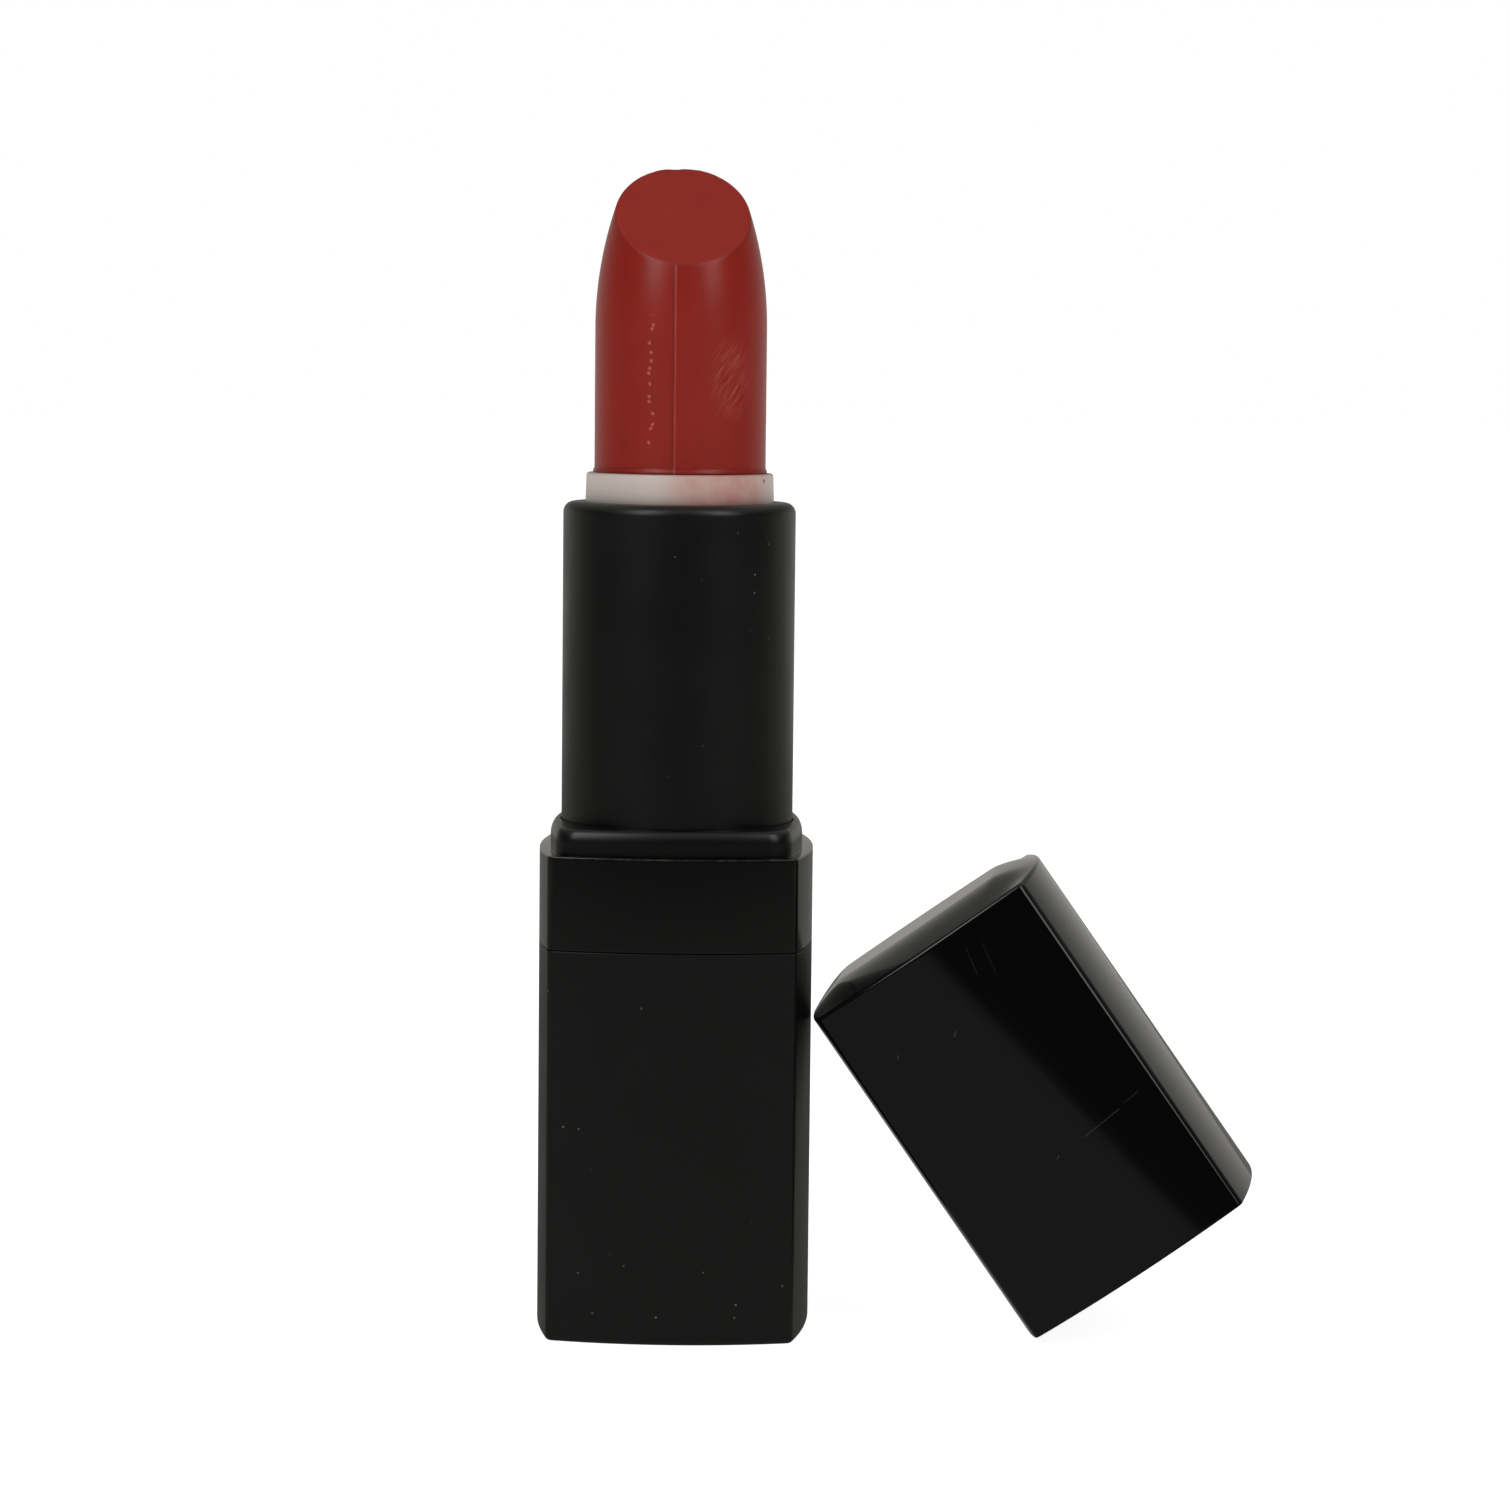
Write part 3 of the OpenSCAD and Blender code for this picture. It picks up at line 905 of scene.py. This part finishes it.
def cast_wax(name, colour, deep, roughness, drag=(1, 1, 1), marks=False, **sockets):
    """Two close tones and a fine grain, which drag stretches along one way."""
    material, shader = start_material(
        name,
        **sockets,
        IOR=1.45,
        Subsurface_Weight=0.12,
        Subsurface_Radius=(1.0, 0.25, 0.15),
        Subsurface_Scale=0.6 * MM,
    )
    place = add_node(material, "ShaderNodeTexCoord").outputs["Object"]
    cloud = add_node(
        material, "ShaderNodeTexNoise", {"Vector": place, "Scale": 1 / (WAX_CLOUD * MM), "Detail": 5.0}
    ).outputs["Fac"]
    tone = add_node(
        material, "ShaderNodeMix", {0: cloud, 6: linear(colour), 7: linear(deep)}, data_type="RGBA"
    ).outputs[2]
    dragged = add_node(
        material, "ShaderNodeVectorMath", {0: place, 1: drag}, operation="MULTIPLY"
    ).outputs[0]
    fine = add_node(
        material, "ShaderNodeTexNoise", {"Vector": dragged, "Scale": 1 / (WAX_GRAIN * MM), "Detail": 3.0}
    ).outputs["Fac"]
    relief = add_node(
        material, "ShaderNodeBump", {"Height": fine, "Strength": 0.3, "Distance": WAX_GRAIN_DEEP * MM}
    ).outputs["Normal"]
    gloss = add_node(
        material,
        "ShaderNodeMapRange",
        {"Value": fine, "To Min": roughness - WAX_DRIFT, "To Max": roughness + WAX_DRIFT},
    ).outputs["Result"]
    if marks:
        tone = wax_marks(material, place, tone)
    link(material, tone, shader.inputs["Base Color"])
    link(material, gloss, shader.inputs["Roughness"])
    link(material, relief, shader.inputs["Normal"])
    return material


wax_side = cast_wax("wax_cast_side", "#932217", "#841d14", 0.31, marks=True)
wax_face = cast_wax(
    "wax_cut_face", "#ae2f22", "#9e291e", 0.6, drag=(0.12, 1, 1), Specular_IOR_Level=0.3
)
print("wax:", wax_side.name, wax_face.name)

# %% [markdown]
# ## The bullet
#
# A straight shank, an arc that draws in towards the tip, and a slanted face cut across it. The
# height of the slanted surface is a formula of x and y, and for each angle round the axis the
# side is followed up until it meets that surface. So the grid of quads ends exactly on the
# slanted edge, which is then rounded with a small curve. The two halves of the mould left a
# fine upright ridge on the front, and the filling left a soft bead at the cup.

# %% Bullet: its shape in formulas
SHOULDER_UP = bullet_tip - 11.25
TAPER_R = 26.5
UNDER_SIZE = 0.01  # the bullet is drawn this much inside its CAD solid
CUT_ANGLE, CUT_TURN, CUT_DROP = math.radians(37.5), math.radians(4.5), 2.5
TIP_SOFT = 0.1  # the crease between the slant and the small flat tip
CHIP, CHIPS_PER_MM, CHIP_REACH = 0.12, 1.8, 0.8  # the tip's edge is a little ragged
BEAD, BEAD_UP, BEAD_HALF = 0.1, 0.12, 0.16
SEAM_HEIGHT, SEAM_WIDTH = 0.03, math.radians(0.55)
shank_r = bullet_r - UNDER_SIZE


def side_radius(z):
    if z > SHOULDER_UP:
        return shank_r - TAPER_R + math.sqrt(TAPER_R**2 - (z - SHOULDER_UP) ** 2)
    if z > cup_top:
        return shank_r + BEAD * math.exp(-(((z - cup_top - BEAD_UP) / BEAD_HALF) ** 2))
    return shank_r


def top_height(x, y):
    """Height of the slanted face and the small flat tip behind it, with a soft crease."""
    back = y * math.cos(CUT_TURN) - x * math.sin(CUT_TURN)
    slant = bullet_tip - CUT_DROP + back * math.tan(CUT_ANGLE)
    near_tip = min(1, max(0, slant - bullet_tip + CHIP_REACH))
    spot = Vector((CHIPS_PER_MM * x, CHIPS_PER_MM * y, 0.5))
    chips = CHIP * near_tip * max(0, noise.noise(spot))
    return (slant + bullet_tip - math.sqrt((slant - bullet_tip) ** 2 + TIP_SOFT**2)) / 2 - chips


def edge_height(turn):
    """Where the side at this angle meets the top surface, found by halving the gap."""
    low, high = SHOULDER_UP, bullet_tip
    for _ in range(40):
        z = (low + high) / 2
        r = side_radius(z)
        if top_height(r * math.cos(turn), r * math.sin(turn)) > z:
            low = z
        else:
            high = z
    return low


def seam_ridge(turn, z):
    """Height of the mould seam, which comes and goes a little along its length."""
    share = math.exp(-(((turn - SEAM_ANGLE) / SEAM_WIDTH) ** 2))
    return SEAM_HEIGHT * share * (0.7 + 0.6 * noise.noise(Vector((0, 0, 2.5 * z))))


# %% Bullet: rings up the side
AROUND = 144
BEAD_RINGS, BEAD_STEP = 12, 0.04
SHANK_RINGS, SLANT_RINGS = 26, 14
SLANT_FROM = SHOULDER_UP + 2  # from here the rings lean over to follow the slanted edge
CUT_EDGE = 0.2

angles = [-math.pi + 2 * math.pi * i / AROUND for i in range(AROUND)]
angles = [a for a in angles if abs(a - SEAM_ANGLE) > 2.4 * SEAM_WIDTH]
angles += [SEAM_ANGLE + k * SEAM_WIDTH for k in (-2, -1, -0.5, 0, 0.5, 1, 2)]
angles.sort()
edges = [edge_height(a) for a in angles]

levels = [bullet_foot, cup_top - NEAR_EDGE]
levels += [cup_top + BEAD_STEP * i for i in range(1, BEAD_RINGS + 1)]
bead_end = levels[-1]
levels += [bead_end + (SLANT_FROM - bead_end) * i / SHANK_RINGS for i in range(1, SHANK_RINGS + 1)]
rings = []
for z in levels:
    rings.append([(a, side_radius(z) + (seam_ridge(a, z) if z > cup_top else 0), z) for a in angles])
for k in range(1, SLANT_RINGS + 1):
    ring = []
    for a, edge in zip(angles, edges):
        z = SLANT_FROM + (edge - CUT_EDGE - SLANT_FROM) * k / SLANT_RINGS
        ring.append((a, side_radius(z) + seam_ridge(a, z), z))
    rings.append(ring)
rings = [[(r * math.cos(a), r * math.sin(a), z) for a, r, z in ring] for ring in rings]
print(f"{len(rings)} rings of {len(angles)} points, slanted edge {min(edges):.1f} to {max(edges):.1f} mm up")

# %% Bullet: the rounded edge, the slanted face and the piece
EDGE_RINGS, FACE_RINGS = 4, 16
FACE_BRACES = [0.03, 0.08]  # shares of the way in at which extra rings stand near the edge
FACE_END = 0.98
CUT_CENTRE_BACK = -1.05
CUT_FROM = 3  # the cut's material starts this many rings below the face

centre = Vector((-CUT_CENTRE_BACK * math.sin(CUT_TURN), CUT_CENTRE_BACK * math.cos(CUT_TURN)))
under_edge = rings[-1]
corners = [
    Vector((side_radius(z) * math.cos(a), side_radius(z) * math.sin(a), z)) for a, z in zip(angles, edges)
]
inward = []
for corner in corners:
    spot = corner.xy + (centre - corner.xy).normalized() * CUT_EDGE
    inward.append(Vector((spot.x, spot.y, top_height(spot.x, spot.y))))
for k in range(1, EDGE_RINGS + 1):
    t = k / EDGE_RINGS
    ring = []
    for start, corner, end in zip(under_edge, corners, inward):
        point = (1 - t) ** 2 * Vector(start) + 2 * t * (1 - t) * corner + t**2 * end
        ring.append(tuple(point))
    rings.append(ring)
side_rings = len(rings)
face_from = FACE_BRACES[-1]
shares = [face_from + (FACE_END - face_from) * k / FACE_RINGS for k in range(1, FACE_RINGS + 1)]
for share in FACE_BRACES + shares:
    ring = []
    for edge in inward:
        spot = edge.xy.lerp(centre, share)
        ring.append((spot.x, spot.y, top_height(spot.x, spot.y)))
    rings.append(ring)

bm = bmesh.new()
skin(bm, rings, first=True, last=True)
bm.faces.ensure_lookup_table()
for index in range((side_rings - CUT_FROM) * len(angles), len(bm.faces)):
    bm.faces[index].material_index = 1
bm.faces[-2].material_index = 0  # the foot, which skin adds last but one
make_piece("bullet_body", bm, [wax_side, wax_face], "carrier", "bullet")

# %% [markdown]
# ## High-gloss ABS: the cap
#
# The cap's mould is polished like a mirror, so its roughness is very low and its own colour
# nearly black. Handling leaves hairline scratches. Most are too fine to show, so they only
# vary the gloss: noise stretched along the cap, 0.3 mm across. Seven marks show on the front,
# a long scratch in two strokes, two fine ones near the closed end and three short nicks. Each
# is a thin line between two points of the cap's own frame.

# %% Gloss ABS
SCRATCHES = (  # start and end as (x, z) in mm on the front, half width, strength
    ((2.35, 10.1), (5.4, 10.35), 0.05, 0.14),
    ((5.9, 10.5), (7.2, 10.6), 0.05, 0.08),
    ((2.6, 23.6), (3.0, 25.6), 0.05, 0.06),
    ((3.7, 22.9), (4.1, 25.2), 0.05, 0.05),
    ((-1.15, 20.9), (-0.9, 21.1), 0.07, 0.2),
    ((-5.4, 21.7), (-5.2, 21.9), 0.07, 0.15),
    ((-0.1, 9.85), (0.1, 10.0), 0.07, 0.15),
)
HAIRLINE = 0.3
CAP_ROUGHNESS = (0.07, 0.12)
FRONT_FROM = 0.8  # the front begins at this share of the way from the axis to the face
cap_abs, shader = start_material("ABS_high_gloss_cap", IOR=1.54)
place = add_node(cap_abs, "ShaderNodeAttribute", attribute_name=OWN_FRAME).outputs["Vector"]
stretched = add_node(
    cap_abs, "ShaderNodeVectorMath", {0: place, 1: (1, 1, 0.03)}, operation="MULTIPLY"
).outputs[0]
hairlines = add_node(
    cap_abs, "ShaderNodeTexNoise", {"Vector": stretched, "Scale": 1 / (HAIRLINE * MM), "Detail": 4.0}
).outputs["Fac"]
gloss = add_node(
    cap_abs,
    "ShaderNodeMapRange",
    {
        "Value": hairlines,
        "From Min": 0.3,
        "From Max": 0.8,
        "To Min": CAP_ROUGHNESS[0],
        "To Max": CAP_ROUGHNESS[1],
    },
).outputs["Result"]
front = add_node(
    cap_abs, "ShaderNodeVectorMath", {0: place, 1: (1, 0, 1)}, operation="MULTIPLY"
).outputs[0]
depth = add_node(cap_abs, "ShaderNodeSeparateXYZ", {0: place}).outputs["Y"]
is_front = add_node(
    cap_abs, "ShaderNodeMath", {0: depth, 1: -FRONT_FROM * case_half * MM}, operation="LESS_THAN"
).outputs[0]
scratches = None
for start, end, half_wide, strength in SCRATCHES:
    start, end = (Vector((x, 0, z)) * MM for x, z in (start, end))
    along = end - start
    from_start = add_node(
        cap_abs, "ShaderNodeVectorMath", {0: front, 1: start}, operation="SUBTRACT"
    ).outputs[0]
    share = add_node(
        cap_abs,
        "ShaderNodeVectorMath",
        {0: from_start, 1: along / along.length_squared},
        operation="DOT_PRODUCT",
    ).outputs["Value"]
    share = add_node(cap_abs, "ShaderNodeClamp", {"Value": share}).outputs[0]
    nearest = add_node(cap_abs, "ShaderNodeVectorMath", {0: along, 3: share}, operation="SCALE").outputs[0]
    away = add_node(
        cap_abs, "ShaderNodeVectorMath", {0: from_start, 1: nearest}, operation="DISTANCE"
    ).outputs["Value"]
    line = add_node(
        cap_abs,
        "ShaderNodeMapRange",
        {
            "Value": away,
            "From Min": half_wide * MM,
            "From Max": 0.3 * half_wide * MM,
            "To Max": strength,
        },
    ).outputs["Result"]
    scratches = (
        add_node(cap_abs, "ShaderNodeMath", {0: scratches, 1: line}, operation="MAXIMUM").outputs[0]
        if scratches
        else line
    )
scratches = add_node(
    cap_abs, "ShaderNodeMath", {0: scratches, 1: is_front}, operation="MULTIPLY"
).outputs[0]
colour = add_node(
    cap_abs, "ShaderNodeMix", {0: scratches, 6: linear("#050506"), 7: linear("#6d6c68")}, data_type="RGBA"
).outputs[2]
link(cap_abs, colour, shader.inputs["Base Color"])
link(cap_abs, gloss, shader.inputs["Roughness"])
print(f"{cap_abs.name}: {len(SCRATCHES)} marks")

# %% [markdown]
# ## The cap
#
# A deep square cup with the same bowed outline as the base, turned upside down over the tube
# when the case is shut. Its closed end is pillowed: nearly flat in the middle and falling
# towards the edges. It is modelled standing straight, mouth down, in a frame of its own, and
# one matrix leans it on the case, so its marks and sections stay easy to write.

# %% Cap shell
CAP_L = 27.1
CAP_RISE = 1.0
CAP_LEAN, CAP_YAW = math.radians(35.3), math.radians(-4.75)
LEAN_GAP = 0.2
MOUTH_R = 0.1
TOP_R = 0.3
PILLOW_RINGS = 40
CAVITY_HALF, CAVITY_CORNER, CAVITY_TOP = 8.98, 1.6, 25.2
TOP_TURN = math.radians(75)  # the rounding stops here and the pillow goes on
PILLOW_SIDE, PILLOW_FRONT = 3.0, 5.8  # how far in from its edges the end is curved

cap_x = case_half + LEAN_GAP + CAP_L * math.sin(CAP_LEAN) * math.cos(CAP_YAW)
lean = (
    Matrix.Translation((cap_x * MM, 0, 0))
    @ Matrix.Rotation(CAP_YAW, 4, "Z")
    @ Matrix.Rotation(-CAP_LEAN, 4, "Y")
    @ Matrix.Translation((case_half * MM, 0, 0))
)


def rise(depth, reach):
    """0 on an edge and 1 from reach inwards, steep at first."""
    return 1 - max(0, 1 - max(0, depth) / reach) ** 1.5


def pillow(x, y):
    """Height of the closed end over its edges."""
    bow_off = SIDE_R - case_half + TOP_R * (1 - math.cos(TOP_TURN))
    from_side = math.sqrt(SIDE_R**2 - y * y) - bow_off - abs(x)
    from_front = math.sqrt(SIDE_R**2 - x * x) - bow_off - abs(y)
    return CAP_RISE * rise(from_side, PILLOW_SIDE) * rise(from_front, PILLOW_FRONT)


flank = brace(
    arc((case_half - MOUTH_R, MOUTH_R), (MOUTH_R, MOUTH_R), -90, 0, 4)
    + arc((case_half - TOP_R, CAP_L - TOP_R), (TOP_R, TOP_R), 0, math.degrees(TOP_TURN), 8)
)
cavity = brace(
    [(CAVITY_HALF + MOUTH_R, 0), (CAVITY_HALF, MOUTH_R), (CAVITY_HALF, CAVITY_TOP)]
)[::-1]
rings = [cushion(half, CAVITY_CORNER, z) for half, z in cavity]
rings += [outer(half, z) for half, z in flank]
edge_ring = rings[-1]
for k in range(1, PILLOW_RINGS):
    kept = 1 - k / PILLOW_RINGS
    rings.append([(x * kept, y * kept, z + pillow(x * kept, y * kept)) for x, y, z in edge_ring])
bm = bmesh.new()
skin(bm, rings, first=True, last=True)
make_piece("cap_body", bm, [cap_abs], "cap", "cap_shell", place=lean)

# %% [markdown]
# ## The liner
#
# Inside the cap sits a liner, square outside and round inside, that guides it over the tube.
# It is plain black polypropylene, a little paler than the cap, and its bore has a lead-in so
# that the tube finds its way.

# %% Liner
LINER_HALF, LINER_FOOT, LINER_TOP = 8.96, 2.15, 25.2
LINER_BORE, LINER_BORE_TOP = 8.36, 24.6
LEAD_IN = 0.25
PP_CLOUD = 3
core_pp, shader = start_material("polypropylene_black", IOR=1.49, Roughness=0.45)
place = add_node(core_pp, "ShaderNodeTexCoord").outputs["Object"]
cloud = add_node(
    core_pp, "ShaderNodeTexNoise", {"Vector": place, "Scale": 1 / (PP_CLOUD * MM), "Detail": 4.0}
).outputs["Fac"]
colour = add_node(
    core_pp, "ShaderNodeMix", {0: cloud, 6: linear("#202224"), 7: linear("#2b2d2f")}, data_type="RGBA"
).outputs[2]
link(core_pp, colour, shader.inputs["Base Color"])

outline = cushion(LINER_HALF, CAVITY_CORNER, LINER_FOOT)
rings = [cushion(LINER_HALF, CAVITY_CORNER, z) for z in (LINER_TOP, LINER_FOOT + NEAR_EDGE)]
rings += [outline, circle_in(outline, LINER_BORE + LEAD_IN, LINER_FOOT)]
rings += [
    circle_in(outline, r, z)
    for r, z in brace([(LINER_BORE, LINER_FOOT + LEAD_IN), (LINER_BORE, LINER_BORE_TOP)])
]
bm = bmesh.new()
skin(bm, rings, first=True, last=True)
make_piece("liner_body", bm, [core_pp], "cap", "cap_liner", place=lean)

# %% [markdown]
# ## The parts inside
#
# The mechanism hardly shows, but it is there when the bullet is wound down, so each CAD part
# keeps its shape and gets the finish of its real material: natural acetal for the two tubes
# that turn on each other, silicone rubber for the ring, turned steel for the weight, the
# liner's black polypropylene for the core and a matt film for the blank label.

# %% Finishes of the parts inside


def plain_finish(name, dark, light, grain, stretch=(1, 1, 1), **sockets):
    """Two close tones mixed by noise of a real grain size in mm, stretched along one way."""
    material, shader = start_material(name, **sockets)
    place = add_node(material, "ShaderNodeTexCoord").outputs["Object"]
    scaled = add_node(
        material, "ShaderNodeVectorMath", {0: place, 1: stretch}, operation="MULTIPLY"
    ).outputs[0]
    pattern = add_node(
        material, "ShaderNodeTexNoise", {"Vector": scaled, "Scale": 1 / (grain * MM), "Detail": 4.0}
    ).outputs["Fac"]
    tone = add_node(
        material, "ShaderNodeMix", {0: pattern, 6: linear(dark), 7: linear(light)}, data_type="RGBA"
    ).outputs[2]
    relief = add_node(
        material, "ShaderNodeBump", {"Height": pattern, "Strength": 0.2, "Distance": 0.01 * MM}
    ).outputs["Normal"]
    link(material, tone, shader.inputs["Base Color"])
    link(material, relief, shader.inputs["Normal"])
    return material


acetal = plain_finish("acetal_natural", "#d8d3c8", "#e6e2d8", 1.5, IOR=1.48, Roughness=0.4)
rubber = plain_finish("silicone_rubber", "#1d1d1d", "#262626", 0.4, IOR=1.41, Roughness=0.7)
steel = plain_finish("steel_turned", "#9b9da0", "#b4b6b8", 0.3, (1, 1, 0.1), Metallic=1.0, Roughness=0.3)
film = plain_finish("label_matt_film", "#d9d6cf", "#e3e0da", 0.5, IOR=1.5, Roughness=0.6)
finishes = {
    "shade_label": film,
    "base_weight": steel,
    "base_core": core_pp,
    "inner_body": acetal,
    "friction_ring": rubber,
    "spiral_sleeve": acetal,
}
for node, finish in finishes.items():
    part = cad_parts[node]
    part.data.materials.clear()
    part.data.materials.append(finish)
    print(f"{node}: {finish.name}")
